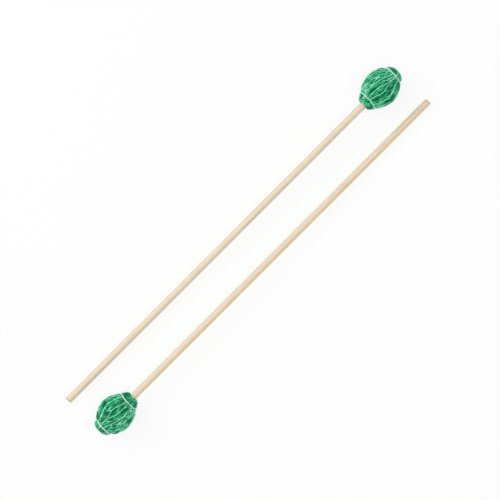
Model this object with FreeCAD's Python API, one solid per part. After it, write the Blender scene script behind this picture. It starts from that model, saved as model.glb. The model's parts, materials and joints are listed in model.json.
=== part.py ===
import FreeCAD, Part
import math
import os

# A matched pair of keyboard mallets wound with yarn, laid down head to tail on a flat surface.
# Each mallet is drawn along its own +X, with the base of its head at zero and its crown ahead,
# and is then tipped until head and butt both rest on the ground at Z zero.
# The second mallet is the first one turned half round about the upright line between them.

# Whole mallet, and how the two lie: side by side, each drawn back a little from its head's end
mallet_length = 420.0
axis_spacing = 39.0
stagger = 1.0

# Birch shaft: a plain dowel, its butt edge eased, its other end turned down and glued into the core
shaft_diameter = 6.5
butt_bevel = 0.7
tenon_diameter = 6.0
shoulder_gap = 0.3

# Head, over its yarn: an egg, widest about half-way along, with a gathered tuft at the crown
head_length = 43.7
head_diameter = 33.3
widest_share = 0.517

# Rubber core: a turned barrel with a blind bore for the shaft; its start and length are shares
# of the head's length, and the bore's depth is a share of the core's
core_diameter = 20.0
core_start_share = 0.286
core_length_share = 0.446
bore_depth_share = 0.75
glue_gap = 0.1
bore_end_gap = 0.3

# Outer yarn: it runs up and down the egg in loops that turn back under the two stitches
yarn_diameter = 1.8
loop_count = 6
base_turn_place = 7.9
base_turn_radius = 10.4
crown_turn_drop = 7.0
crown_turn_radius = 9.7
yarn_end_place = 9.9
yarn_end_radius = 11.7

# Reach of the flat arc at the waist over the reach of the tight arc at each turn
base_bend_share = 5.7
crown_bend_share = 5.7

# Stitches: one thread drawn round the neck of the crown tuft, one round the collar at the base
thread_diameter = 0.9
thread_end_gap = 1.5
thread_clearance = 0.1
crown_stitch_drop = 5.3
crown_neck_radius = 7.5
base_stitch_place = 6.4
base_neck_radius = 9.2
neck_half_width = 0.6

# Packed yarn inside: its collar and tuft show as flutes, and between them it backs the outer yarn
packing_clearance = 0.2
core_clearance = 0.15
packing_ridge = 1.4
flute_depth = 0.7
collar_end_radius = 6.6
collar_mouth_radius = 5.0
collar_mouth_rise = 0.6
collar_top_radius = 9.5
tuft_radius = 8.3
tuft_rise = 2.4
tuft_shoulder_radius = 7.4
tuft_end_radius = 3.2
backing_steps = 4

# Sides of the swept tubes, arcs in one stitch, and points taken on each arc when gaps are measured;
# points nearer than this many diameters along a tube are neighbours, and no gap lies between them
yarn_sides = 4
thread_sides = 3
stitch_arcs = 4
points_per_arc = 12
neighbour_diameters = 4

# Worked out from the sizes above
shaft_radius = shaft_diameter / 2
tenon_radius = tenon_diameter / 2
head_radius = head_diameter / 2
yarn_radius = yarn_diameter / 2
thread_radius = thread_diameter / 2
strand_ring_radius = head_radius - yarn_radius
strand_count = 2 * loop_count
strand_fan = 2 * math.pi / strand_count
bare_length = mallet_length - head_length
widest_place = head_length * widest_share
core_place = head_length * core_start_share
core_length = head_length * core_length_share
bore_depth = core_length * bore_depth_share
crown_turn_place = head_length - crown_turn_drop
crown_stitch_place = head_length - crown_stitch_drop

along = FreeCAD.Vector(1, 0, 0)
upright = FreeCAD.Vector(0, 0, 1)
crosswise = FreeCAD.Vector(0, 1, 0)
middle = FreeCAD.Vector(0, 0, 0)


def arc(start, way, end):
    """The arc that leaves start along way and reaches end, as an edge."""
    chord = end - start
    across = way - chord * (way.dot(chord) / chord.dot(chord))
    rise = chord.Length / 2 * math.tan(chord.getAngle(way) / 2)
    top = start + chord * 0.5 + across.normalize() * rise
    return Part.Arc(start, top, end).toShape()


def biarc(start, start_way, end, end_way, bend_share):
    """Two arcs from start to end along their ways; bend_share is the end's reach over the start's."""
    span = end - start
    square = bend_share * (start_way.dot(end_way) - 1)
    linear = -(span.dot(start_way) + bend_share * span.dot(end_way))
    root = math.sqrt(linear * linear - 2 * square * span.dot(span))
    reach = (-linear - root) / (2 * square)
    end_reach = bend_share * reach
    before = start + start_way * reach
    after = end - end_way * end_reach
    joint = (before * end_reach + after * reach) * (1 / (reach + end_reach))
    return [arc(start, start_way, joint), arc(joint, (after - before).normalize(), end)]


def smooth_path(marks, bend_shares):
    """Edges through marks, each a point and its way, joined by biarcs."""
    edges = []
    for (start, start_way), (end, end_way), share in zip(marks, marks[1:], bend_shares):
        edges += biarc(start, start_way, end, end_way, share)
    return edges


def straight_ends(edges, length):
    """The path with a straight run of the given length added at both its ends."""
    first, last = edges[0], edges[-1]
    start = first.valueAt(first.FirstParameter)
    end = last.valueAt(last.LastParameter)
    lead_in = start - first.tangentAt(first.FirstParameter) * length
    lead_out = end + last.tangentAt(last.LastParameter) * length
    return [Part.makeLine(lead_in, start)] + edges + [Part.makeLine(end, lead_out)]


def tube(edges, diameter, sides):
    """A faceted tube swept along the edges."""
    start = edges[0].valueAt(edges[0].FirstParameter)
    way = edges[0].tangentAt(edges[0].FirstParameter)
    corner = way.cross(start).normalize() * (diameter / 2)
    turn = FreeCAD.Rotation(way, 360 / sides)
    corners = [start + corner]
    for _ in range(sides - 1):
        corner = turn.multVec(corner)
        corners.append(start + corner)
    section = Part.makePolygon(corners + corners[:1])
    return Part.Wire(edges).makePipeShell([section], True, False)


def points_on(edges):
    """Points along the edges, in order."""
    points = []
    for edge in edges:
        points += edge.discretize(points_per_arc)[:-1]
    return points


def least_gap(points, diameter):
    """The least clear distance from a tube of this diameter to itself."""
    places = [0.0]
    for before, after in zip(points, points[1:]):
        places.append(places[-1] + before.distanceToPoint(after))
    neighbour_reach = neighbour_diameters * diameter
    least = places[-1]
    for index, point in enumerate(points):
        for other in range(index + 1, len(points)):
            if places[other] - places[index] > neighbour_reach:
                least = min(least, point.distanceToPoint(points[other]))
    return least - diameter


def radius_of(point):
    """How far a point lies from the mallet's axis."""
    return math.hypot(point.y, point.z)


def backing_radius(points, place):
    """The radius at a place along the axis that keeps the packed yarn clear of the outer yarn."""
    reach = yarn_radius + packing_clearance
    radii = []
    for point in points:
        offset = place - point.x
        if abs(offset) < reach:
            radii.append(radius_of(point) - math.sqrt(reach * reach - offset * offset))
    return min(radii)


def round_point(place, radius, angle):
    """A point at a place along the axis, at a radius and an angle about it."""
    return FreeCAD.Vector(place, radius * math.sin(angle), radius * math.cos(angle))


def round_way(angle):
    """The way round the axis at an angle."""
    return FreeCAD.Vector(0, math.cos(angle), -math.sin(angle))


def yarn_path():
    """The outer yarn's path: up one strand, back down the next, in one unbroken line."""
    marks = []
    shares = []
    for loop in range(loop_count):
        up = 2 * loop * strand_fan
        down = up + strand_fan
        turn = up + strand_fan / 2
        next_turn = down + strand_fan / 2
        marks += [
            (round_point(widest_place, strand_ring_radius, up), along),
            (round_point(crown_turn_place, crown_turn_radius, turn), round_way(turn)),
            (round_point(widest_place, strand_ring_radius, down), -along),
            (round_point(base_turn_place, base_turn_radius, next_turn), round_way(next_turn)),
        ]
        shares += [1 / crown_bend_share, crown_bend_share, 1 / base_bend_share, base_bend_share]
    marks.pop()
    first_waist, last_waist = marks[0][0], marks[-1][0]
    start = round_point(yarn_end_place, yarn_end_radius, 0)
    end = round_point(yarn_end_place, yarn_end_radius, -strand_fan)
    rise = first_waist - start
    start_way = rise * (2 * rise.dot(along) / rise.dot(rise)) - along
    edges = [arc(start, start_way, first_waist)]
    edges += smooth_path(marks, shares)
    edges.append(arc(last_waist, -along, end))
    return straight_ends(edges, yarn_diameter)


def stitch_path(place, neck_radius):
    """The path of a stitching thread round a neck, its two straight ends facing each other."""
    radius = neck_radius + thread_clearance + thread_radius
    open_angle = (thread_end_gap + 2 * thread_diameter) / radius
    arc_angle = (2 * math.pi - open_angle) / stitch_arcs
    marks = []
    for step in range(stitch_arcs + 1):
        angle = math.pi + open_angle / 2 + step * arc_angle
        marks.append((round_point(place, radius, angle), round_way(angle)))
    arcs = [arc(start, way, end) for (start, way), (end, _) in zip(marks, marks[1:])]
    return straight_ends(arcs, thread_diameter)


def turned(outline):
    """A solid turned about the mallet's axis from an outline of places and radii."""
    corners = [FreeCAD.Vector(place, radius, 0) for place, radius in outline]
    face = Part.Face(Part.makePolygon(corners + corners[:1]))
    return face.revolve(middle, along, 360)


def shaft():
    """The dowel, from its eased butt to the end of its tenon in the core."""
    butt = -bare_length
    seat = core_place + bore_depth - bore_end_gap
    outline = [
        (butt, 0),
        (butt, shaft_radius - butt_bevel),
        (butt + butt_bevel, shaft_radius),
        (-shoulder_gap, shaft_radius),
        (-shoulder_gap, tenon_radius),
        (seat, tenon_radius),
        (seat, 0),
    ]
    return turned(outline)


def barrel(clearance):
    """The core's outside, grown by a clearance."""
    start = along * (core_place - clearance)
    return Part.makeCylinder(core_diameter / 2 + clearance, core_length + 2 * clearance, start, along)


def core():
    """The rubber barrel, with the tenon's blind bore."""
    bore = Part.makeCylinder(tenon_radius + glue_gap, bore_depth, along * core_place, along)
    return barrel(0).cut(bore)


def packing_ring(place, strand_radius, between_radius):
    """A ring of corners at a place: one at each strand's angle and one half-way to the next."""
    corners = []
    for strand in range(strand_count):
        corners.append(round_point(place, strand_radius, strand * strand_fan))
        corners.append(round_point(place, between_radius, (strand + 0.5) * strand_fan))
    return corners


def flat_sided(rings):
    """A solid with flat faces between rings of corners, closed by the first and the last ring."""
    faces = [Part.Face(Part.makePolygon(ring + ring[:1])) for ring in (rings[0], rings[-1])]
    for low, high in zip(rings, rings[1:]):
        for index in range(len(low)):
            here, before = index, index - 1
            faces.append(Part.Face(Part.makePolygon([low[before], low[here], high[here], low[before]])))
            faces.append(Part.Face(Part.makePolygon([low[before], high[here], high[before], low[before]])))
    return Part.makeSolid(Part.makeShell(faces))


def collar_rings():
    """The fluted collar below the base stitch, and the smooth neck that the stitch lies in."""
    top = base_stitch_place - neck_half_width
    return [
        packing_ring(0, collar_mouth_radius, collar_mouth_radius),
        packing_ring(collar_mouth_rise, collar_end_radius, collar_end_radius - flute_depth),
        packing_ring(top, collar_top_radius, collar_top_radius - flute_depth),
        packing_ring(top, base_neck_radius, base_neck_radius),
        packing_ring(base_stitch_place + neck_half_width, base_neck_radius, base_neck_radius),
    ]


def backing_rings(yarn_points):
    """The egg under the outer yarn, which swells out between its strands towards the waist."""
    low = base_turn_place + yarn_radius
    high = crown_turn_place - yarn_radius
    base_step = (widest_place - low) / backing_steps
    crown_step = (high - widest_place) / backing_steps
    places = [low + step * base_step for step in range(backing_steps)]
    places += [widest_place + step * crown_step for step in range(backing_steps + 1)]
    rings = []
    for place in [base_turn_place] + places + [crown_turn_place]:
        radius = backing_radius(yarn_points, place)
        reach = widest_place - low if place < widest_place else high - widest_place
        swell = packing_ridge * max(0, 1 - ((place - widest_place) / reach) ** 2)
        rings.append(packing_ring(place, radius, radius + swell))
    return rings


def tuft_rings():
    """The smooth neck that the crown stitch lies in, and the fluted tuft beyond it."""
    start = crown_stitch_place + neck_half_width
    return [
        packing_ring(crown_stitch_place - neck_half_width, crown_neck_radius, crown_neck_radius),
        packing_ring(start, crown_neck_radius, crown_neck_radius),
        packing_ring(start, tuft_radius, tuft_radius - flute_depth),
        packing_ring(start + tuft_rise, tuft_shoulder_radius, tuft_shoulder_radius - flute_depth),
        packing_ring(head_length, tuft_end_radius, tuft_end_radius),
    ]


def under_winding(yarn_points):
    """The packed yarn round the barrel, from the collar's mouth to the end of the tuft."""
    body = flat_sided(collar_rings() + backing_rings(yarn_points) + tuft_rings())
    hole = Part.makeCylinder(tenon_radius + glue_gap, core_place, middle, along)
    return body.cut(hole).cut(barrel(core_clearance))


def resting_placement(head):
    """How one mallet is tipped, lifted and set aside so that its yarn and butt rest on the ground."""
    head_low = max(-vertex.Z for vertex in head.Vertexes)
    contact_run = bare_length - butt_bevel + widest_place
    tip = FreeCAD.Rotation(crosswise, -math.degrees(math.asin((head_low - shaft_radius) / contact_run)))
    butt_edge = FreeCAD.Vector(butt_bevel - bare_length, 0, -shaft_radius)
    low_points = [vertex.Point for vertex in head.Vertexes] + [butt_edge]
    lift = -min(tip.multVec(point).z for point in low_points)
    half_way = tip.multVec(along * ((head_length - bare_length) / 2))
    return FreeCAD.Placement(FreeCAD.Vector(-half_way.x - stagger, axis_spacing / 2, lift), tip)


def main():
    """Draw the pieces of one mallet, lay two of each down, and write each to its own file."""
    os.makedirs("parts", exist_ok=True)
    yarn_edges = yarn_path()
    yarn_points = points_on(yarn_edges)
    tightest = min(edge.Curve.Radius for edge in yarn_edges[1:-1])
    print("least gap of the yarn to itself:", round(least_gap(yarn_points, yarn_diameter), 3))
    print("tightest turn of the yarn:", round(tightest, 3))
    pieces = {
        "shaft": shaft(),
        "core": core(),
        "under_winding": under_winding(yarn_points),
        "yarn_winding": tube(yarn_edges, yarn_diameter, yarn_sides),
    }
    stitches = (
        ("crown_stitch", crown_stitch_place, crown_neck_radius),
        ("base_stitch", base_stitch_place, base_neck_radius),
    )
    for name, place, neck_radius in stitches:
        thread_edges = stitch_path(place, neck_radius)
        gap = least_gap(points_on(thread_edges), thread_diameter)
        print("least gap of the", name, "to itself:", round(gap, 3))
        pieces[name] = tube(thread_edges, thread_diameter, thread_sides)
    first = resting_placement(pieces["yarn_winding"])
    half_round = FreeCAD.Placement(middle, FreeCAD.Rotation(upright, 180))
    for mallet, placement in (("first", first), ("second", half_round.multiply(first))):
        for name, piece in pieces.items():
            laid = piece.copy()
            laid.Placement = placement
            laid.exportStep(os.path.join("parts", f"{mallet}_{name}.step"))
            print(f"{mallet}_{name}", "valid" if laid.isValid() else "not valid", round(laid.Volume, 1))


if __name__ == "__main__":
    main()
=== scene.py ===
from dataclasses import dataclass, field
from enum import Enum
import json
import logging
import math

import bpy
import numpy as np
from mathutils import Matrix, Vector
from mathutils.bvhtree import BVHTree


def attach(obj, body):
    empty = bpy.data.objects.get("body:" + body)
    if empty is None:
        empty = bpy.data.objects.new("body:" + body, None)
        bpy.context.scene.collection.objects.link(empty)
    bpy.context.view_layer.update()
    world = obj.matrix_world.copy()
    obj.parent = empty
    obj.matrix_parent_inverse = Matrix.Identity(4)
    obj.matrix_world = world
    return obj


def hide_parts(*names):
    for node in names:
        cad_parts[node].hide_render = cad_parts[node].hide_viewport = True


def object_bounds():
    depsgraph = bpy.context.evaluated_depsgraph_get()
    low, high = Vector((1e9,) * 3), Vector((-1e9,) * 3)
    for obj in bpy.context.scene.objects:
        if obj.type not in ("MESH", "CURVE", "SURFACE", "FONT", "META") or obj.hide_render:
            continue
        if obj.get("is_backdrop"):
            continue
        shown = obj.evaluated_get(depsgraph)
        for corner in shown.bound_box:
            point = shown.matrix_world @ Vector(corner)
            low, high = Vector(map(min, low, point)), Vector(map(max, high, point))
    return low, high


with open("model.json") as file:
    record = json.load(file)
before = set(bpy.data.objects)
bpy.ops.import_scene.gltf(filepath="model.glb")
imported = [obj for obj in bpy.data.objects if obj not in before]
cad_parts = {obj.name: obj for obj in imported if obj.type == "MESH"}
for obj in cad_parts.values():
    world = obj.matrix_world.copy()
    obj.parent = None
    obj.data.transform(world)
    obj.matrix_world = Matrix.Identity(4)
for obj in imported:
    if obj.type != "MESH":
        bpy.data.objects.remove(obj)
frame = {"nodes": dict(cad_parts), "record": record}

# Looks of a matched pair of keyboard mallets, wound with green wool yarn on birch shafts.
# Each mallet is drawn along its own +X, in metres, with the base face of its head at zero,
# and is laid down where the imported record's grip says that its shaft lies.

MM = 0.001
SHOULDER_GAP = 0.3 * MM
WHITE = (1.0, 1.0, 1.0, 1.0)

# A wave texture of this scale repeats once in each unit of its coordinates
WAVE_SCALE = 2 * math.pi / 20

# Weights that even out a row of values
NEIGHBOUR_WEIGHTS = (0.25, 0.5, 0.25)

log = logging.getLogger("mallets")


class Mallet(Enum):
    """The two mallets of the pair, by the name that starts their nodes."""

    FIRST = "first"
    SECOND = "second"


class Slot(Enum):
    """The record's material slots."""

    BIRCH = "birch"
    RUBBER = "rubber"
    PACKED_YARN = "packed_yarn"
    YARN = "yarn"
    THREAD = "thread"


def linear(code: str) -> tuple[float, float, float, float]:
    """Turns a colour written as sRGB hex to linear light.

    Args:
        code: six hex digits.

    Returns:
        Red, green, blue and an alpha of one.
    """
    shares = [int(code[at:at + 2], 16) / 255 for at in (0, 2, 4)]
    red, green, blue = (share / 12.92 if share <= 0.04045 else ((share + 0.055) / 1.055) ** 2.4
                        for share in shares)
    return (red, green, blue, 1.0)


def add_node(tree: bpy.types.NodeTree, kind: str, settings: dict | None = None,
             links: dict | None = None) -> bpy.types.Node:
    """Adds a node with its settings and links.

    Args:
        tree: the material's or world's tree.
        kind: the node's type.
        settings: values by property name or by input name.
        links: output sockets by the name or number of the input that they feed.

    Returns:
        The node.
    """
    node = tree.nodes.new(kind)
    for name, value in (settings or {}).items():
        if isinstance(name, str) and hasattr(node, name):
            setattr(node, name, value)
        else:
            node.inputs[name].default_value = value
    for name, socket in (links or {}).items():
        tree.links.new(socket, node.inputs[name])
    return node


def set_ramp(node: bpy.types.Node, stops: dict[float, str]) -> None:
    """Fills a colour ramp.

    Args:
        node: the ramp's node.
        stops: hex colours by their place from 0 to 1, the lowest first.
    """
    points = node.color_ramp.elements
    while len(points) < len(stops):
        points.new(1.0)
    for point, (place, code) in zip(points, stops.items()):
        point.position = place
        point.color = linear(code)


def set_inputs(node: bpy.types.Node, values: dict[str, object]) -> None:
    """Sets a node's inputs by their names."""
    for name, value in values.items():
        node.inputs[name].default_value = value


def set_bump(tree: bpy.types.NodeTree, height: bpy.types.NodeSocket, depth: float,
             strength: float) -> None:
    """Lets a height roughen the surface of the tree's shader.

    Args:
        tree: the material's tree.
        height: the socket that gives the height.
        depth: metres between a height of 0 and of 1.
        strength: how much of it is taken, from 0 to 1.
    """
    bump = add_node(tree, "ShaderNodeBump", {"Strength": strength, "Distance": depth},
                    {"Height": height})
    shader = tree.nodes["Principled BSDF"]
    tree.links.new(bump.outputs["Normal"], shader.inputs["Normal"])


@dataclass(frozen=True)
class Finish:
    """What each finish has: a name and its roughness."""

    name: str
    roughness: float

    def start(self) -> tuple[bpy.types.NodeTree, bpy.types.Node]:
        """Starts the material.

        Returns:
            Its tree and its shader.
        """
        made = bpy.data.materials.new(self.name)
        made.use_nodes = True
        shader = made.node_tree.nodes["Principled BSDF"]
        shader.inputs["Roughness"].default_value = self.roughness
        return made.node_tree, shader

    def material(self) -> bpy.types.Material:
        """The finished material."""
        raise NotImplementedError


@dataclass(frozen=True)
class WoolYarn(Finish):
    """Dyed wool yarn, two plies twisted: matt, soft at its edges, each length paler or darker."""

    shades: dict[float, str] = field(default_factory=dict)
    fade_patch: float = 5 * MM
    fade_reach: float = 0.65
    fibre_reach: float = 0.8
    fibres_per_ridge: float = 5.0
    fibre_length: float = 1.2 * MM
    ply_depth: float = 0.16 * MM
    fibre_height: float = 1.6
    relief: float = 0.5
    sheen: str = "B8F0D8"

    def material(self) -> bpy.types.Material:
        """Builds the wool.

        Returns:
            The material.
        """
        tree, shader = self.start()
        place = add_node(tree, "ShaderNodeTexCoord")
        length = add_node(tree, "ShaderNodeAttribute", {"attribute_name": "shade"})
        fade = add_node(tree, "ShaderNodeTexNoise", {"Scale": 1 / self.fade_patch, "Detail": 2.0},
                        {"Vector": place.outputs["Object"]})
        spread = add_node(tree, "ShaderNodeMapRange",
                          {"From Min": 0.3, "From Max": 0.7,
                           "To Min": -(self.fibre_reach + self.fade_reach) / 2,
                           "To Max": (self.fade_reach - self.fibre_reach) / 2},
                          {"Value": fade.outputs["Fac"]})
        mixed = add_node(tree, "ShaderNodeMath", {"operation": "ADD"},
                         {0: length.outputs["Fac"], 1: spread.outputs["Result"]})
        drawn_out = add_node(tree, "ShaderNodeMapping",
                             {"Scale": (self.fibres_per_ridge, 1 / self.fibre_length, 1.0)},
                             {"Vector": place.outputs["UV"]})
        fibres = add_node(tree, "ShaderNodeTexNoise",
                          {"Scale": 1.0, "Detail": 3.0, "Roughness": 0.6},
                          {"Vector": drawn_out.outputs["Vector"]})
        woolly = add_node(tree, "ShaderNodeMath",
                          {"operation": "MULTIPLY_ADD", 1: self.fibre_reach},
                          {0: fibres.outputs["Fac"], 2: mixed.outputs["Value"]})
        ramp = add_node(tree, "ShaderNodeValToRGB", links={"Fac": woolly.outputs["Value"]})
        set_ramp(ramp, self.shades)
        tree.links.new(ramp.outputs["Color"], shader.inputs["Base Color"])
        plies = add_node(tree, "ShaderNodeTexWave", {"Scale": WAVE_SCALE},
                         {"Vector": place.outputs["UV"]})
        height = add_node(tree, "ShaderNodeMath",
                          {"operation": "MULTIPLY_ADD", 1: self.fibre_height},
                          {0: fibres.outputs["Fac"], 2: plies.outputs["Fac"]})
        set_bump(tree, height.outputs["Value"], self.ply_depth, self.relief)
        set_inputs(shader, {"Specular IOR Level": 0.1, "Sheen Weight": 0.12,
                            "Sheen Roughness": 0.5, "Sheen Tint": linear(self.sheen)})
        return bpy.data.materials[self.name]


@dataclass(frozen=True)
class BirchDowel(Finish):
    """Birch, sanded and thinly lacquered: pale, fine grained, darker at its end as end grain and
    painted shade, a soft shine.
    """

    pale: str = "E6D6BC"
    grain: str = "D3BE97"
    # Colour at the butt: end grain, darkened further as painted shade
    end_grain_and_shade: str = "A88E62"
    end_reach: float = 0.5
    grain_width: float = 0.45 * MM
    grain_length: float = 40 * MM
    pore_width: float = 0.12 * MM
    pore_depth: float = 0.05 * MM
    relief: float = 0.15

    def drawn_out(self, tree: bpy.types.NodeTree, width: float, settings: dict) -> bpy.types.Node:
        """Adds noise that is drawn out along the dowel.

        Args:
            tree: the material's tree.
            width: metres across one streak.
            settings: the noise's settings.

        Returns:
            The noise.
        """
        place = add_node(tree, "ShaderNodeTexCoord")
        stretched = add_node(tree, "ShaderNodeMapping",
                             {"Scale": (1 / self.grain_length, 1 / width, 1 / width)},
                             {"Vector": place.outputs["Object"]})
        return add_node(tree, "ShaderNodeTexNoise", settings,
                        {"Vector": stretched.outputs["Vector"]})

    def material(self) -> bpy.types.Material:
        """Builds the birch.

        Returns:
            The material.
        """
        tree, shader = self.start()
        figure = self.drawn_out(tree, self.grain_width,
                                {"Scale": 1.0, "Detail": 4.0, "Roughness": 0.6})
        end = add_node(tree, "ShaderNodeAttribute", {"attribute_name": "end_grain_and_shade"})
        tone = add_node(tree, "ShaderNodeMath", {"operation": "MULTIPLY_ADD", 1: -self.end_reach},
                        {0: end.outputs["Fac"], 2: figure.outputs["Fac"]})
        ramp = add_node(tree, "ShaderNodeValToRGB", links={"Fac": tone.outputs["Value"]})
        set_ramp(ramp, {0.05: self.end_grain_and_shade, 0.3: self.grain, 0.62: self.pale})
        tree.links.new(ramp.outputs["Color"], shader.inputs["Base Color"])
        pores = self.drawn_out(tree, self.pore_width, {"Scale": 3.0, "Detail": 2.0})
        set_bump(tree, pores.outputs["Fac"], self.pore_depth, self.relief)
        set_inputs(shader, {"Coat Weight": 0.4, "Coat Roughness": 0.4})
        return bpy.data.materials[self.name]


@dataclass(frozen=True)
class CottonThread(Finish):
    """Polished cotton thread, two plies twisted: pale, with painted shade in the twist's grooves
    and a faint shine along each ply.
    """

    shade: str = "DCFFF0"
    # The colour of the painted shade in the grooves of the twist
    groove_shade: str = "BEFFE2"
    ply_depth: float = 0.05 * MM
    relief: float = 0.5

    def material(self) -> bpy.types.Material:
        """Builds the thread.

        Returns:
            The material.
        """
        tree, shader = self.start()
        place = add_node(tree, "ShaderNodeTexCoord")
        plies = add_node(tree, "ShaderNodeTexWave", {"Scale": WAVE_SCALE},
                         {"Vector": place.outputs["UV"]})
        ramp = add_node(tree, "ShaderNodeValToRGB", links={"Fac": plies.outputs["Fac"]})
        set_ramp(ramp, {0.0: self.groove_shade, 0.45: self.shade})
        tree.links.new(ramp.outputs["Color"], shader.inputs["Base Color"])
        set_bump(tree, plies.outputs["Fac"], self.ply_depth, self.relief)
        set_inputs(shader, {"Sheen Weight": 0.15})
        return bpy.data.materials[self.name]


@dataclass(frozen=True)
class TurnedRubber(Finish):
    """Black rubber turned on a lathe: matt, with faint tool rings."""

    shade: str = "1E1E1F"
    ring_step: float = 0.3 * MM
    ring_depth: float = 0.05 * MM
    relief: float = 0.2

    def material(self) -> bpy.types.Material:
        """Builds the rubber.

        Returns:
            The material.
        """
        tree, shader = self.start()
        shader.inputs["Base Color"].default_value = linear(self.shade)
        place = add_node(tree, "ShaderNodeTexCoord")
        rings = add_node(tree, "ShaderNodeTexWave", {"Scale": WAVE_SCALE / self.ring_step},
                         {"Vector": place.outputs["Object"]})
        set_bump(tree, rings.outputs["Fac"], self.ring_depth, self.relief)
        return bpy.data.materials[self.name]


@dataclass(frozen=True)
class StudioPaper(Finish):
    """White paper: it looks white itself, more so far away, and still takes the mallets' shadow."""

    shade: str = "F4F4F4"
    glow_share: float = 0.85
    shadow_reach: float = 0.4
    full_glow_reach: float = 1.2

    def material(self) -> bpy.types.Material:
        """Builds the paper.

        Returns:
            The material.
        """
        tree, shader = self.start()
        shader.inputs["Base Color"].default_value = linear(self.shade)
        shader.inputs["Specular IOR Level"].default_value = 0.0
        rays = add_node(tree, "ShaderNodeLightPath")
        seen = add_node(tree, "ShaderNodeMath", {"operation": "MAXIMUM"},
                        {0: rays.outputs["Is Camera Ray"], 1: rays.outputs["Is Glossy Ray"]})
        shown = add_node(tree, "ShaderNodeMath", {"operation": "MAXIMUM"},
                         {0: seen.outputs["Value"], 1: rays.outputs["Is Transmission Ray"]})
        place = add_node(tree, "ShaderNodeTexCoord")
        away = add_node(tree, "ShaderNodeVectorMath", {"operation": "LENGTH"},
                        {0: place.outputs["Object"]})
        full = add_node(tree, "ShaderNodeMapRange",
                        {"From Min": self.shadow_reach, "From Max": self.full_glow_reach,
                         "To Min": self.glow_share},
                        {"Value": away.outputs["Value"]})
        share = add_node(tree, "ShaderNodeMath", {"operation": "MULTIPLY"},
                         {0: shown.outputs["Value"], 1: full.outputs["Result"]})
        glow = add_node(tree, "ShaderNodeEmission", {"Color": WHITE, "Strength": 1.0})
        both = add_node(tree, "ShaderNodeMixShader",
                        links={0: share.outputs["Value"], 1: shader.outputs["BSDF"],
                               2: glow.outputs["Emission"]})
        tree.links.new(both.outputs["Shader"], tree.nodes["Material Output"].inputs["Surface"])
        return bpy.data.materials[self.name]


OUTER_WOOL = WoolYarn("dyed_wool_yarn_two_ply", 0.9,
                      {0.0: "006A40", 0.25: "0C9C64", 0.5: "38C28E", 0.75: "74E4B6", 1.0: "B0F8D8"})
# The same wool, darker as painted shade: the yarn seen in the gaps and under the lays
SHADED_INNER_WOOL = WoolYarn("dyed_wool_yarn_packed_painted_shade", 0.95,
                      {0.0: "007A48", 0.4: "0A9259", 0.8: "2DB37C"})
THREAD = CottonThread("polished_cotton_thread", 0.5)
RUN_THREAD = CottonThread("polished_cotton_thread_pale_green", 0.6, "A4FFD6", "74F0BE")
BIRCH = BirchDowel("birch_dowel_lacquered", 0.42)
RUBBER = TurnedRubber("rubber_turned_black", 0.85)
PAPER = StudioPaper("studio_paper_white", 0.9)


def grip_of(mallet: Mallet) -> dict:
    """The record's mount for a mallet's bare shaft."""
    name = f"{mallet.value}_grip"
    return next(mount for mount in frame["record"]["mounts"] if mount["name"] == name)


def laid(mallet: Mallet) -> Matrix:
    """Where a mallet lies.

    Args:
        mallet: which of the two.

    Returns:
        The matrix from the mallet's own frame to the scene.
    """
    grip = grip_of(mallet)
    way = -Vector(grip["axis"])
    base = Vector(grip["pos_m"]) + way * (grip["dims"]["length_mm"] * MM / 2 + SHOULDER_GAP)
    side = Vector((0, 0, 1)).cross(way).normalized()
    turned = Matrix((way, side, way.cross(side))).transposed().to_4x4()
    return Matrix.Translation(base) @ turned


def smooth_step(value: np.ndarray) -> np.ndarray:
    """A rise from 0 to 1 with level ends."""
    part = np.clip(value, 0, 1)
    return part * part * (3 - 2 * part)


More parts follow.
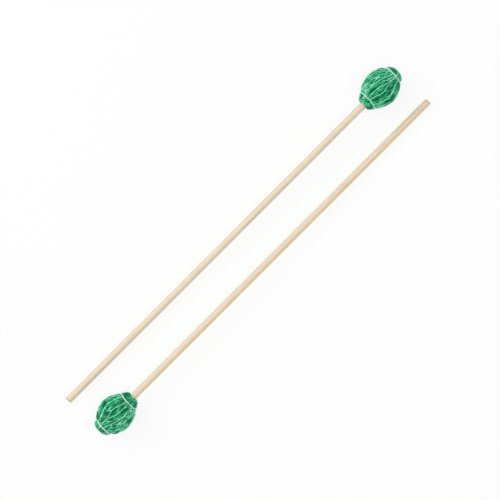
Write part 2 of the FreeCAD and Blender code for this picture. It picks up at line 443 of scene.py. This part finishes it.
@dataclass
class Outline:
    """The head's outer outline, whose marks are places along it and radii in millimetres."""

    marks: tuple[tuple[float, float], ...] = (
        (0.5, 3.4),
        (-0.1, 4.7),
        (0.3, 6.1),
        (1.5, 7.3),
        (4.5, 9.3),
        (6.0, 10.1),
        (6.9, 10.2),
        (7.6, 11.0),
        (9.2, 12.3),
        (12.6, 14.3),
        (17.0, 15.9),
        (22.6, 17.0),
        (28.0, 16.1),
        (32.3, 14.3),
        (35.9, 11.9),
        (37.3, 10.3),
        (38.1, 8.6),
        (38.8, 8.9),
        (40.4, 8.6),
        (42.1, 6.8),
        (43.2, 4.0),
        (43.1, 2.2),
        (42.2, 1.2),
        (40.7, 0.8),
    )
    lean: float = 0.5 * MM
    lean_start: float = 6 * MM
    lean_end: float = 39 * MM
    lean_fade: float = 8 * MM
    probe: float = 0.004
    least_radius: float = 0.6 * MM

    def along(self, shares: np.ndarray) -> np.ndarray:
        """Places and radii on the outline.

        Args:
            shares: how far along the outline, from 0 at the shaft to 1 at the crown.

        Returns:
            One row of place and radius for each share.
        """
        marks = np.array(self.marks) * MM
        steps = np.hypot(*np.diff(marks, axis=0).T)
        at_marks = np.concatenate(([0.0], np.cumsum(steps))) / steps.sum()
        padded = np.vstack((2 * marks[0] - marks[1], marks, 2 * marks[-1] - marks[-2]))
        index = np.clip(np.searchsorted(at_marks, shares, side="right") - 1, 0, len(marks) - 2)
        part = ((shares - at_marks[index]) / (at_marks[index + 1] - at_marks[index]))[:, None]
        before, start, end, after = (padded[index + shift] for shift in range(4))
        return 0.5 * (2 * start + (end - before) * part
                      + (2 * before - 5 * start + 4 * end - after) * part ** 2
                      + (3 * start - before - 3 * end + after) * part ** 3)

    def at(self, shares: np.ndarray,
           depth: np.ndarray | float = 0.0) -> tuple[np.ndarray, np.ndarray]:
        """Places and radii on the outline or below it.

        Args:
            shares: how far along the outline, from 0 at the shaft to 1 at the crown.
            depth: metres below the outline, square to it.

        Returns:
            The places and radii, and the direction square to the outline at each.
        """
        way = (self.along(np.minimum(shares + self.probe, 1))
               - self.along(np.maximum(shares - self.probe, 0)))
        way /= np.linalg.norm(way, axis=1)[:, None]
        square = np.stack((-way[:, 1], way[:, 0]), axis=1)
        section = self.along(shares) - square * np.broadcast_to(depth, shares.shape)[:, None]
        section[:, 1] = np.maximum(section[:, 1], self.least_radius)
        return section, square

    def points(self, shares: np.ndarray, depth: np.ndarray | float,
               angles: np.ndarray) -> tuple[np.ndarray, np.ndarray]:
        """Points round the head, whose egg leans a little towards the shaft on its right.

        Args:
            shares: how far along the outline, from 0 at the shaft to 1 at the crown.
            depth: metres below the outline.
            angles: turn about the mallet's axis, from the top towards its left.

        Returns:
            The points, and the direction out of the head at each.
        """
        section, square = self.at(shares, depth)
        points = about_axis(section, angles)
        held = (smooth_step(section[:, 0] / self.lean_start)
                * smooth_step((self.lean_end - section[:, 0]) / self.lean_fade))
        points[:, 0] += self.lean * (np.sin(angles) - 1) * held
        return points, about_axis(square, angles)

    def share_at(self, place: float) -> float:
        """How far along the outline a place is, before the outline turns back at the crown.

        Args:
            place: metres along the mallet.

        Returns:
            The share from 0 to 1.
        """
        shares = np.linspace(0, 1, 400)
        places = self.along(shares)[:, 0]
        rising = int(np.argmax(places))
        return float(np.interp(place, places[:rising], shares[:rising]))


def about_axis(section: np.ndarray, angles: np.ndarray) -> np.ndarray:
    """Turns an outline's points or directions about the mallet's axis.

    Args:
        section: one row of place and radius for each.
        angles: turn about the axis, from the top towards the mallet's left.

    Returns:
        The points or directions.
    """
    places, radii = section[:, 0], section[:, 1]
    return np.stack((places, radii * np.sin(angles), radii * np.cos(angles)), axis=1)


def unit(rows: np.ndarray) -> np.ndarray:
    """The rows at a length of one."""
    return rows / np.linalg.norm(rows, axis=1)[:, None]


def run_along(route: np.ndarray) -> np.ndarray:
    """Metres along a route to each of its points."""
    return np.concatenate(([0.0], np.cumsum(np.linalg.norm(np.diff(route, axis=0), axis=1))))


@dataclass
class Lengths:
    """Many thin round lengths, such as yarn, thread or fibres, gathered into one mesh."""

    sides: int
    pitch: float
    ridges: int = 2
    points: list[np.ndarray] = field(default_factory=list)
    faces: list[tuple[int, ...]] = field(default_factory=list)
    turns: list[float] = field(default_factory=list)
    shades: list[np.ndarray] = field(default_factory=list)
    count: int = 0

    def add(self, route: np.ndarray, radii: np.ndarray, outward: np.ndarray,
            shade: np.ndarray | float, groove_shade: float = 0.0) -> None:
        """Adds one closed length.

        Args:
            route: points along its middle.
            radii: its radius at each point.
            outward: a direction at each point that its first corner faces.
            shade: how pale it is, from 0 to 1, in all or at each point.
            groove_shade: how much painted shade darkens the side that faces away from outward.
        """
        way = unit(np.gradient(route, axis=0))
        up = unit(outward - way * (outward * way).sum(axis=1)[:, None])
        side = np.cross(way, up)
        angles = np.arange(self.sides) * 2 * math.pi / self.sides
        ring = up[:, None] * np.cos(angles)[:, None] + side[:, None] * np.sin(angles)[:, None]
        self.points.append((route[:, None] + ring * radii[:, None, None]).reshape(-1, 3))
        # Painted shade: each length is darker on the side that faces away from outward
        tones = np.broadcast_to(shade, len(route))[:, None] - groove_shade * (1 - np.cos(angles)) / 2
        self.shades.append(tones.ravel())
        run = run_along(route)
        phase = run / self.pitch
        for at in range(len(route) - 1):
            low = self.count + at * self.sides
            high = low + self.sides
            for side_at in range(self.sides):
                after = (side_at + 1) % self.sides
                self.faces.append((low + side_at, low + after, high + after, high + side_at))
                here, there = (self.ridges * (side_at + step) / self.sides for step in (0, 1))
                self.turns += [phase[at] + here, run[at], phase[at] + there, run[at],
                               phase[at + 1] + there, run[at + 1],
                               phase[at + 1] + here, run[at + 1]]
        last = self.count + (len(route) - 1) * self.sides
        self.faces.append(tuple(reversed(range(self.count, self.count + self.sides))))
        self.faces.append(tuple(range(last, last + self.sides)))
        self.turns += [0.0] * (4 * self.sides)
        self.count += len(route) * self.sides

    def add_plied(self, route: np.ndarray, radii: np.ndarray, outward: np.ndarray,
                  shade: np.ndarray | float, twist: float, spread: float = 1.0,
                  groove_shade: float = 0.0, contrast: float = 0.0) -> None:
        """Adds a yarn or thread of two plies twisted round each other.

        Args:
            route: points along its middle.
            radii: each ply's radius at each point.
            outward: a direction at each point that faces away from the mallet.
            shade: how pale it is, from 0 to 1, in all or at each point.
            twist: metres for one whole turn of the plies.
            spread: how far each ply's middle is from the yarn's, as a share of the ply's radius.
            groove_shade: how much painted shade darkens each ply where it meets the other.
            contrast: how much paler the first ply is, and how much darker the second.
        """
        way = unit(np.gradient(route, axis=0))
        up = unit(outward - way * (outward * way).sum(axis=1)[:, None])
        side = np.cross(way, up)
        turned = 2 * math.pi * run_along(route) / twist
        for start, paler in ((0.0, contrast), (math.pi, -contrast)):
            phase = (turned + start)[:, None]
            aside = up * np.cos(phase) + side * np.sin(phase)
            self.add(route + spread * radii[:, None] * aside, radii, aside, shade + paler, groove_shade)

    def surface(self) -> BVHTree:
        """The lengths' surface, so that thread can be laid on it."""
        return BVHTree.FromPolygons(np.vstack(self.points).tolist(), self.faces)

    def piece(self, name: str, place: Matrix) -> bpy.types.Object:
        """Makes the mesh.

        Args:
            name: the piece's name.
            place: where the mallet lies.

        Returns:
            The piece.
        """
        mesh = bpy.data.meshes.new(name)
        mesh.from_pydata(np.vstack(self.points), [], self.faces)
        layer = mesh.uv_layers.new(name="twist")
        layer.data.foreach_set("uv", self.turns)
        tone = mesh.attributes.new("shade", "FLOAT", "POINT")
        tone.data.foreach_set("value", np.concatenate(self.shades))
        mesh.shade_smooth()
        mesh.transform(place)
        made = bpy.data.objects.new(name, mesh)
        bpy.context.collection.objects.link(made)
        return made


@dataclass
class Winding:
    """Two-ply yarn on one head, in bundles from shaft to crown that cross at small angles.

    The end streaks are added to every third bundle's shade near the shaft and the crown. Each
    spot has its place and reach in millimetres along the mallet, its turn and sweep in degrees
    from the top, and what it adds to the shade: (place, turn, reach, sweep, added).
    """

    outline: Outline
    bundles: int
    sunk: float
    slant: float
    seed: int
    per_bundle: int = 2
    ply_radius: float = 0.5 * MM
    twist: float = 16.0 * MM
    # Painted shade where the two plies of each yarn meet
    groove_shade: float = 0.55
    sink: float = 0.8 * MM
    collar_turn: float = 0.85
    crown_turn: float = 0.6
    squeeze: float = 0.62
    tones: tuple[float, float] = (0.53, 0.79)
    end_streaks: tuple[float, float, float] = (0.42, -0.12, -0.3)
    end_share: float = 0.16
    stray: float = 0.35
    bend: float = 0.16
    depth: float = 0.7 * MM
    ripple: float = 0.2 * MM
    wobble: float = 0.03
    tone_stray: float = 0.3
    contrast: float = 0.12
    samples: int = 84
    # The darker spots are painted shade of gaps and of the egg's flanks, where the yarn is also
    # sunk; the paler spots make the yarn paler
    spots: tuple[tuple[float, float, float, float, float], ...] = (
        (12.5, 18, 3.5, 7, -0.4),
        (28.0, 12, 3.0, 6, -0.4),
        (29.0, 27, 2.5, 7, -0.3),
        (33.0, 38, 2.5, 9, -0.45),
        (34.7, 21, 3.0, 8, -0.4),
        (25.5, -14, 4.5, 5, -0.4),
        (14.5, -30, 2.5, 8, -0.2),
        (34.0, -28, 3.0, 9, -0.25),
        (9.0, -24, 2.5, 10, -0.3),
        (20.0, 48, 8.0, 18, -0.12),
        (20.0, -46, 8.0, 16, -0.08),
        (16.0, -4, 4.0, 5, 0.2),
        (31.5, -1, 2.5, 6, 0.25),
        (40.6, 22, 2.2, 38, -0.4),
        (41.5, -35, 2.0, 14, -0.25),
        (2.6, 8, 1.8, 14, -0.4),
        (3.0, -42, 2.6, 24, -0.35),
        (4.0, 30, 1.5, 12, 0.25),
    )

    def change(self, places: np.ndarray, angles: np.ndarray) -> np.ndarray:
        """How much paler or darker the yarn is by its place, where the photograph shows it.

        Args:
            places: metres along the mallet.
            angles: turn about the axis, from the top.

        Returns:
            What is added to the shade at each place.
        """
        turns = np.degrees((angles + math.pi) % (2 * math.pi) - math.pi)
        added = np.zeros_like(places)
        for place, turn, reach, sweep, strength in self.spots:
            away = ((places / MM - place) / reach) ** 2 + ((turns - turn) / sweep) ** 2
            added += strength * np.exp(-away)
        return added

    def add_to(self, lay: Lengths) -> None:
        """Lays the yarn.

        Args:
            lay: what it is added to.
        """
        rng = np.random.default_rng(self.seed)
        shares = np.linspace(0, 1, self.samples)
        section = self.outline.along(shares)
        fullness = section[:, 1] / section[:, 1].max()
        thick = self.ply_radius * (self.squeeze + (1 - self.squeeze) * fullness)
        swirl = self.collar_turn * (1 - smooth_step((shares - 0.02) / self.end_share)) ** 2
        swirl += self.crown_turn * smooth_step((shares - 0.84) / self.end_share)
        ends = smooth_step(1.9 - 2.6 * fullness)
        for bundle in range(self.bundles):
            middle = (bundle + rng.uniform(-self.stray, self.stray)) * 2 * math.pi / self.bundles
            slant = rng.uniform(-self.slant, self.slant)
            bend = rng.uniform(-self.bend, self.bend)
            bend_at = rng.uniform(0, 1)
            depth = rng.uniform(0, self.depth)
            tone = rng.uniform(*self.tones)
            spread = (2 * math.pi / (self.bundles * self.per_bundle)
                      * rng.uniform(0.9, 1.15))
            for strand in range(self.per_bundle):
                offset = (strand - (self.per_bundle - 1) / 2) * spread
                waves = shares * rng.uniform(1.5, 3.0) + rng.uniform(0, 1)
                wobble = self.wobble * np.sin(2 * math.pi * waves)
                angles = (middle + offset + slant * 2 * (shares - 0.5)
                          + bend * np.sin(math.pi * (shares * 2 + bend_at)) + wobble + swirl)
                waves = shares * 3 + rng.uniform(0, 1)
                ripple = self.ripple * (1 + np.sin(2 * math.pi * waves))
                # Painted shade from the darker spots, and the paler spots
                spotted = self.change(section[:, 0], angles)
                inset = 1.9 * thick + self.sunk
                inset += (depth + ripple) * smooth_step(fullness * 2 - 0.3)
                inset += self.sink * np.maximum(-spotted, 0)
                route, outward = self.outline.points(shares, inset, angles)
                shade = tone + rng.uniform(-self.tone_stray, self.tone_stray)
                shade = shade + spotted + ends * self.end_streaks[bundle % 3]
                lay.add_plied(route, thick * rng.uniform(0.88, 1.1), outward, shade,
                              self.twist * rng.uniform(0.75, 1.2), groove_shade=self.groove_shade,
                              contrast=self.contrast)


@dataclass
class Fuzz:
    """Loose wool fibres that stand off the yarn, and lie flat under the head where it rests."""

    outline: Outline
    count: int = 1100
    fibre_radius: float = 0.035 * MM
    fibre_length: float = 2.6 * MM
    lift: float = 0.7 * MM
    root_depth: float = 0.3 * MM
    stray: float = 0.05 * MM
    head_run: float = 60 * MM
    samples: int = 4
    seed: int = 41

    def lengths(self) -> Lengths:
        """Scatters the fibres.

        Returns:
            The lengths.
        """
        rng = np.random.default_rng(self.seed)
        lay = Lengths(3, 1 * MM)
        run = np.linspace(0, 1, self.samples)
        for _ in range(self.count):
            share = rng.uniform(0.03, 0.93)
            angle = rng.uniform(0, 2 * math.pi)
            reach = self.fibre_length * rng.uniform(0.5, 1.2)
            heading = rng.uniform(-1.1, 1.1) + rng.choice([0, math.pi])
            moved = run * reach * math.cos(heading) / self.head_run
            along_share = np.clip(share + moved, 0.01, 0.96)
            bow = np.sin(math.pi * run * rng.uniform(0.5, 1.0)) * self.lift * rng.uniform(0.2, 1.0)
            bow *= smooth_step(4 * (1 + math.cos(angle)))
            turn = run * reach * math.sin(heading) / self.outline.along(along_share)[:, 1]
            route, outward = self.outline.points(along_share, self.root_depth - bow, angle + turn)
            route += rng.uniform(-self.stray, self.stray, route.shape)
            lay.add(route, self.fibre_radius * (1.1 - run), outward, rng.uniform(0.4, 1.0))
        return lay


@dataclass
class Stitching:
    """The pale thread: a doubled ring round each neck, and runs sewn between the rings.

    A run's marks are millimetres along the mallet and degrees from its top. Sways are how far
    the ring wanders along the mallet, its waves in one turn and where they start.
    """

    outline: Outline
    yarn: BVHTree
    ring_places: tuple[float, float] = (5.7 * MM, 37.6 * MM)
    ring_lift: float = 0.35 * MM
    leans_left: tuple[float, float] = (0.5 * MM, 0.35 * MM)
    leans_up: tuple[float, float] = (0.8 * MM, 0.35 * MM)
    ply_radius: float = 0.44 * MM
    ply_pitch: float = 3.6 * MM
    ply_spread: float = 0.7
    ring_gap: float = 0.03
    sways: tuple[tuple[float, int, int], ...] = ((0.12 * MM, 5, 0), (0.08 * MM, 11, 1))
    run_radius: float = 0.28 * MM
    run_lift: float = 0.1 * MM
    ring_samples: int = 144
    run_samples: int = 26
    run_end_depth: float = 0.6 * MM
    clear: float = 16 * MM
    over: float = 3 * MM
    no_yarn_depth: float = 1.5 * MM
    top_runs: tuple[tuple[tuple[float, float], ...], ...] = (
        ((6.8, 38), (14.5, 27), (22.5, 19), (30.0, 14), (38.2, 3)),
        ((6.8, 7), (17.5, 5), (25.5, -4), (32.0, -7), (38.2, -24)),
        ((6.8, -6), (13.5, -12), (19.0, -19), (24.5, -15), (33.0, -11), (38.2, -14)),
        ((29.5, 14), (33.0, 22), (38.2, 34)),
        ((6.8, -40), (14.5, -46), (23.5, -44), (32.0, -34), (38.2, -36)),
    )
    hidden_runs: int = 9
    hidden_start: float = 75
    hidden_sweep: float = 210
    hidden_lean: float = 14
    hidden_stray: float = 8

    def ring(self, place: float, left: float, up: float) -> Lengths:
        """Makes one ring of two plies, drawn tight on the yarn.

        Args:
            place: metres along the mallet.
            left: how far its left side leans towards the crown.
            up: how far its top leans towards the crown.

        Returns:
            The ring.
        """
        lay = Lengths(6, self.ply_pitch)
        turn = np.linspace(self.ring_gap, 2 * math.pi - self.ring_gap, self.ring_samples)
        sway = sum(size * np.sin(waves * turn + start) for size, waves, start in self.sways)
        lean = -left * np.sin(turn) - up * np.cos(turn)
        section = np.stack((place + sway + lean, np.full(len(turn), self.clear)), axis=1)
        square = np.stack((np.zeros_like(turn), np.ones_like(turn)), axis=1)
        outward = about_axis(square, math.pi + turn)
        far = self.fall(about_axis(section, math.pi + turn), -outward)
        window = self.ring_samples // 12
        across = 2 * window + 1
        padded = np.pad(far, window, mode="edge")
        far = np.convolve(padded, np.full(across, 1 / across), "valid")
        section[:, 1] += self.ring_lift - far
        lay.add_plied(about_axis(section, math.pi + turn), np.full(len(turn), self.ply_radius),
                      outward, 0.5, self.ply_pitch, spread=self.ply_spread)
        return lay

    def fall(self, starts: np.ndarray, ways: np.ndarray) -> np.ndarray:
        """How far it is from each start to the yarn.

        Args:
            starts: points clear of the yarn.
            ways: the direction from each.

        Returns:
            The distance from each, in metres.
        """
        hits = (self.yarn.ray_cast(Vector(start), Vector(way), self.clear)[3]
                for start, way in zip(starts, ways))
        return np.array([self.clear / 2 if far is None else far for far in hits])

    def run(self, lay: Lengths, marks: tuple[tuple[float, float], ...]) -> None:
        """Adds one run of thread over the yarn.

        Args:
            lay: what it is added to.
            marks: millimetres along the mallet and degrees from its top, in order.
        """
        given = np.array(marks)
        places = np.linspace(given[0, 0], given[-1, 0], self.run_samples)
        angles = np.radians(np.interp(places, given[:, 0], given[:, 1]))
        for _ in range(3):
            angles[1:-1] = np.convolve(angles, NEIGHBOUR_WEIGHTS, mode="valid")
        shares = np.array([self.outline.share_at(place * MM) for place in places])
        depth = self.yarn_depth(shares, angles)
        highest = np.minimum(np.minimum(depth[:-2], depth[2:]), depth[1:-1])
        depth = np.concatenate((depth[:1], highest, depth[-1:]))
        for _ in range(2):
            depth[1:-1] = np.convolve(depth, NEIGHBOUR_WEIGHTS, mode="valid")
        depth -= self.run_lift
        depth[[0, -1]] = self.run_end_depth
        route, outward = self.outline.points(shares, depth, angles)
        lay.add(route, np.full(len(places), self.run_radius), outward, 0.5)

    def yarn_depth(self, shares: np.ndarray, angles: np.ndarray) -> np.ndarray:
        """How far below the outline the yarn is, at its highest within the thread's width.

        Args:
            shares: how far along the outline, from 0 at the shaft to 1 at the crown.
            angles: turn about the mallet's axis.

        Returns:
            The depth at each place, in metres.
        """
        nearest = np.full(len(shares), self.over + self.no_yarn_depth)
        for aside in (-1, 0, 1):
            turned = angles + aside * self.run_radius / self.outline.along(shares)[:, 1]
            starts, outward = self.outline.points(shares, -self.over, turned)
            nearest = np.minimum(nearest, self.fall(starts, -outward))
        return nearest - self.over

    def rings(self) -> list[Lengths]:
        """The ring at the base and the ring at the crown, each by itself."""
        sizes = zip(self.ring_places, self.leans_left, self.leans_up)
        return [self.ring(place, left, up) for place, left, up in sizes]

    def runs(self) -> Lengths:
        """Makes the runs that the photograph shows on top, and like ones round the rest.

        Returns:
            The runs.
        """
        lay = Lengths(6, 1.6 * MM)
        for marks in self.top_runs:
            self.run(lay, marks)
        rng = np.random.default_rng(7)
        start, end = (place / MM for place in self.ring_places)
        for index in range(self.hidden_runs):
            angle = self.hidden_start + index * self.hidden_sweep / (self.hidden_runs - 1)
            lean = self.hidden_lean if index % 2 else -self.hidden_lean
            middle = angle + rng.uniform(-self.hidden_stray, self.hidden_stray)
            self.run(lay, ((start + 0.4, angle - lean), ((start + end) / 2, middle),
                           (end - 0.2, angle + lean)))
        return lay


@dataclass
class Head:
    """A wound head: packed yarn, crossing lengths of yarn over it, loose fibres and stitching.

    The yarn is the sides, pitch and ridges of its lengths. Each lay is its bundles, how far it
    is sunk, its slant and its seed.
    """

    mallet: Mallet
    place: Matrix
    outline: Outline = field(default_factory=Outline)
    packed_gap: float = 2.1 * MM
    packed_strands: int = 84
    packed_hollow: float = 0.955
    # The tone of each strand's ridge and of the groove between, the groove darker as painted shade
    packed_ridge_tone_and_groove_shade: tuple[float, float] = (0.4, -0.35)
    packed_rings: int = 40
    packed_full_radius: float = 8 * MM
    yarn: tuple[int, float, int] = (5, -4 * MM, 5)
    inner_lay: tuple[int, float, float, int] = (36, 1.0 * MM, 0.6, 5)
    outer_lays: tuple[tuple[int, float, float, int], ...] = (
        (26, 0.2 * MM, 0.45, 12),
        (11, 0.0, 0.8, 3),
    )

    def packed(self) -> bpy.types.Object:
        """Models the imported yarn's fluted surface, extruded ring by ring along the outline.

        Returns:
            The piece.
        """
        shares = np.linspace(0.0, 1.0, self.packed_rings)
        outer, _ = self.outline.at(shares)
        gaps = self.packed_gap * np.minimum(1.0, outer[:, 1] / self.packed_full_radius)
        rings, _ = self.outline.at(shares, gaps)
        bpy.ops.object.select_all(action="DESELECT")
        bpy.ops.mesh.primitive_circle_add(vertices=2 * self.packed_strands, radius=rings[0, 1],
                                          fill_type="NGON", location=(rings[0, 0], 0, 0),
                                          rotation=(0, math.pi / 2, 0))
        made = bpy.context.object
        made.name = f"{self.mallet.value}_packed_yarn"
        bpy.ops.object.transform_apply(location=True, rotation=True, scale=True)
        for vertex in list(made.data.vertices)[1::2]:
            vertex.co.yz *= self.packed_hollow
        bpy.ops.object.mode_set(mode="EDIT")
        for (place, radius), (next_place, next_radius) in zip(rings, rings[1:]):
            step = (next_place - place, 0, 0)
            bpy.ops.mesh.extrude_region_move(TRANSFORM_OT_translate={"value": step})
            share = next_radius / radius
            bpy.ops.transform.resize(value=(1, share, share), center_override=(next_place, 0, 0))
        bpy.ops.mesh.select_all(action="SELECT")
        bpy.ops.mesh.normals_make_consistent(inside=False)
        bpy.ops.object.mode_set(mode="OBJECT")
        bpy.ops.object.shade_smooth()
        self.mark_strands(made.data)
        made.data.transform(self.place)
        return made

    def mark_strands(self, mesh: bpy.types.Mesh) -> None:
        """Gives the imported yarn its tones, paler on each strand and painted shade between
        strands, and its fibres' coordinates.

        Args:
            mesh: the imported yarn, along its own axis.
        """
        turns = [math.atan2(vertex.co.y, vertex.co.z) / math.pi * self.packed_strands
                 for vertex in mesh.vertices]
        tone = mesh.attributes.new("shade", "FLOAT", "POINT")
        tone.data.foreach_set("value", [self.packed_ridge_tone_and_groove_shade[round(turn) % 2] for turn in turns])
        layer = mesh.uv_layers.active
        for face in mesh.polygons:
            across = any(turns[at] > self.packed_strands / 2 for at in face.vertices)
            for loop, at in zip(face.loop_indices, face.vertices):
                turn = turns[at] + (2 * self.packed_strands if across and turns[at] < 0 else 0)
                layer.data[loop].uv = (turn, mesh.vertices[at].co.x)

    def build(self) -> None:
        """Builds and dresses the head's pieces."""
        name = self.mallet.value
        body = f"{name}_mallet"
        packed = self.packed()
        self.finish(packed, SHADED_INNER_WOOL, Slot.PACKED_YARN, body)
        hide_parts(f"{name}_under_winding")
        inner = Lengths(*self.yarn)
        Winding(self.outline, *self.inner_lay).add_to(inner)
        packing = inner.piece(f"{name}_yarn_inner_lay", self.place)
        self.finish(packing, SHADED_INNER_WOOL, Slot.PACKED_YARN, body)
        outer = Lengths(*self.yarn)
        for lay in self.outer_lays:
            Winding(self.outline, *lay).add_to(outer)
        wound = outer.piece(f"{name}_yarn_outer_lay", self.place)
        self.finish(wound, OUTER_WOOL, Slot.YARN, body)
        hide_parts(f"{name}_yarn_winding")
        fuzz = Fuzz(self.outline).lengths().piece(f"{name}_yarn_fibres", self.place)
        self.finish(fuzz, OUTER_WOOL, Slot.YARN, body)
        sewn = Stitching(self.outline, outer.surface())
        for ring, node in zip(sewn.rings(), ("base_stitch", "crown_stitch")):
            piece = ring.piece(f"{name}_{node}_thread", self.place)
            self.finish(piece, THREAD, Slot.THREAD, body)
            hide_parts(f"{name}_{node}")
        runs = sewn.runs().piece(f"{name}_running_thread", self.place)
        self.finish(runs, RUN_THREAD, Slot.THREAD, body)

    @staticmethod
    def finish(piece: bpy.types.Object, finish: Finish, slot: Slot, body: str) -> None:
        """Dresses a piece and lets it ride.

        Args:
            piece: the piece.
            finish: its finish.
            slot: the record's slot; not used.
            body: the body that carries it.
        """
        dress(piece, finish)
        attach(piece, body)
        log.info("%s: %d faces, on %s", piece.name, len(piece.data.polygons), body)


def dress(piece: bpy.types.Object, finish: Finish) -> None:
    """Gives a piece its material.

    Args:
        piece: the piece.
        finish: its finish.
    """
    made = bpy.data.materials.get(finish.name) or finish.material()
    piece.data.materials.clear()
    piece.data.materials.append(made)


@dataclass
class Shaft:
    """The birch dowel, smoother than its solid, with an eased butt."""

    mallet: Mallet
    place: Matrix
    sides: int = 64
    ease: float = 0.7 * MM
    ease_steps: int = 4
    darkened_run: float = 1.7 * MM
    tenon_run: float = 10 * MM
    butt_reach: float = 1 * MM
    smooth_angle: float = math.radians(35)

    def build(self) -> None:
        """Models the dowel from a cylinder whose butt edge is bevelled round, and dresses it."""
        name = self.mallet.value
        grip = grip_of(self.mallet)
        radius = grip["dims"]["r_mm"] * MM
        bare = grip["dims"]["length_mm"] * MM + self.ease + SHOULDER_GAP
        bpy.ops.object.select_all(action="DESELECT")
        bpy.ops.mesh.primitive_cylinder_add(vertices=self.sides, radius=radius,
                                            depth=bare + self.tenon_run,
                                            location=((self.tenon_run - bare) / 2, 0, 0),
                                            rotation=(0, math.pi / 2, 0))
        made = bpy.context.object
        made.name = f"{name}_shaft_dowel"
        bpy.ops.object.transform_apply(location=True, rotation=True, scale=True)
        bpy.ops.object.mode_set(mode="EDIT")
        bpy.ops.mesh.select_all(action="SELECT")
        bpy.ops.mesh.bisect(plane_co=(self.darkened_run - bare, 0, 0), plane_no=(1, 0, 0))
        bpy.ops.mesh.select_all(action="DESELECT")
        bpy.ops.object.mode_set(mode="OBJECT")
        for edge in made.data.edges:
            edge.select = all(made.data.vertices[at].co.x < self.butt_reach - bare
                              for at in edge.vertices)
        bpy.ops.object.mode_set(mode="EDIT")
        bpy.ops.mesh.select_mode(type="EDGE")
        bpy.ops.mesh.bevel(offset=self.ease, segments=self.ease_steps, affect="EDGES")
        bpy.ops.object.mode_set(mode="OBJECT")
        bpy.ops.object.shade_smooth_by_angle(angle=self.smooth_angle)
        # The butt's last stretch is darker: end grain, and painted shade at the butt
        places = np.array([vertex.co.x for vertex in made.data.vertices])
        cut = made.data.attributes.new("end_grain_and_shade", "FLOAT", "POINT")
        darkened_end = np.clip((self.darkened_run - bare - places) / self.darkened_run, 0, 1)
        cut.data.foreach_set("value", darkened_end)
        made.data.transform(self.place)
        dress(made, BIRCH)
        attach(made, f"{name}_mallet")
        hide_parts(f"{name}_shaft")
        log.info("%s: %d faces", made.name, len(made.data.polygons))


@dataclass
class Studio:
    """White paper, soft light from above and the camera straight over the pair.

    Each lamp has its name, its place and size in metres, and its power in watts.
    """

    camera_height: float = 1.21
    frame_width: float = 0.4499
    frame_height: float = 12 * MM
    picture_pixels: int = 500
    pair_pixel: tuple[float, float] = (248.2, 250.9)
    floor_size: float = 6.0
    sensor_width: float = 36.0
    surround: float = 0.62
    lamps: tuple[tuple[str, tuple[float, float, float], float, float], ...] = (
        ("key_softbox", (-0.35, 1.1, 1.1), 1.2, 10.2),
        ("top_softbox", (0.1, -0.2, 2.2), 2.0, 10.4),
    )

    def build(self) -> None:
        """Builds the studio."""
        self.floor()
        self.light()
        self.camera()

    def floor(self) -> None:
        """Lays the paper on the ground."""
        bpy.ops.object.select_all(action="DESELECT")
        bpy.ops.mesh.primitive_grid_add(x_subdivisions=4, y_subdivisions=4, size=self.floor_size)
        paper = bpy.context.object
        paper.name = "studio_paper"
        paper.data.materials.append(PAPER.material())
        paper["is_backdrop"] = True

    def light(self) -> None:
        """Hangs two soft lamps and sets an even white surround."""
        for name, place, size, power in self.lamps:
            lamp = bpy.data.lights.new(name, "AREA")
            lamp.size = size
            lamp.energy = power
            held = bpy.data.objects.new(name, lamp)
            held.location = place
            held.rotation_euler = (-Vector(place)).to_track_quat("-Z", "Y").to_euler()
            bpy.context.collection.objects.link(held)
        world = bpy.data.worlds.new("white_surround")
        bpy.context.scene.world = world
        world.use_nodes = True
        tree = world.node_tree
        even = tree.nodes["Background"]
        set_inputs(even, {"Color": WHITE, "Strength": self.surround})
        shown = add_node(tree, "ShaderNodeBackground", {"Color": WHITE, "Strength": 1.0})
        rays = add_node(tree, "ShaderNodeLightPath")
        seen = add_node(tree, "ShaderNodeMath", {"operation": "MAXIMUM"},
                        {0: rays.outputs["Is Camera Ray"], 1: rays.outputs["Is Glossy Ray"]})
        both = add_node(tree, "ShaderNodeMixShader",
                        links={0: seen.outputs["Value"], 1: even.outputs["Background"],
                               2: shown.outputs["Background"]})
        tree.links.new(both.outputs["Shader"], tree.nodes["World Output"].inputs["Surface"])

    def camera(self) -> None:
        """Sets the camera over the pair, turned so that the shafts run corner to corner."""
        low, high = (Vector(corner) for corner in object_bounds())
        centre = (low + high) / 2
        pixel = self.frame_width / self.picture_pixels
        right = Vector((1, -1, 0)).normalized()
        up = Vector((1, 1, 0)).normalized()
        half = self.picture_pixels / 2
        across, down = self.pair_pixel
        shift = right * (half - across) * pixel - up * (half - down) * pixel
        eye = bpy.data.cameras.new("overhead_camera")
        eye.sensor_width = self.sensor_width
        eye.lens = eye.sensor_width * (self.camera_height - self.frame_height) / self.frame_width
        held = bpy.data.objects.new("overhead_camera", eye)
        held.location = Vector((centre.x, centre.y, self.camera_height)) + shift
        held.rotation_euler = (0, 0, -math.pi / 4)
        bpy.context.collection.objects.link(held)
        bpy.context.scene.camera = held


def main() -> None:
    """Builds the pair and the studio, and keeps the sizes."""
    logging.basicConfig(level=logging.INFO, format="%(name)s: %(message)s")
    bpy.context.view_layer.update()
    bpy.context.scene.view_settings.view_transform = "Standard"
    for mallet in Mallet:
        place = laid(mallet)
        Shaft(mallet, place).build()
        Head(mallet, place).build()
        dress(frame["nodes"][f"{mallet.value}_core"], RUBBER)
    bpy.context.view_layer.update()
    Studio().build()


if __name__ == "__main__":
    main()
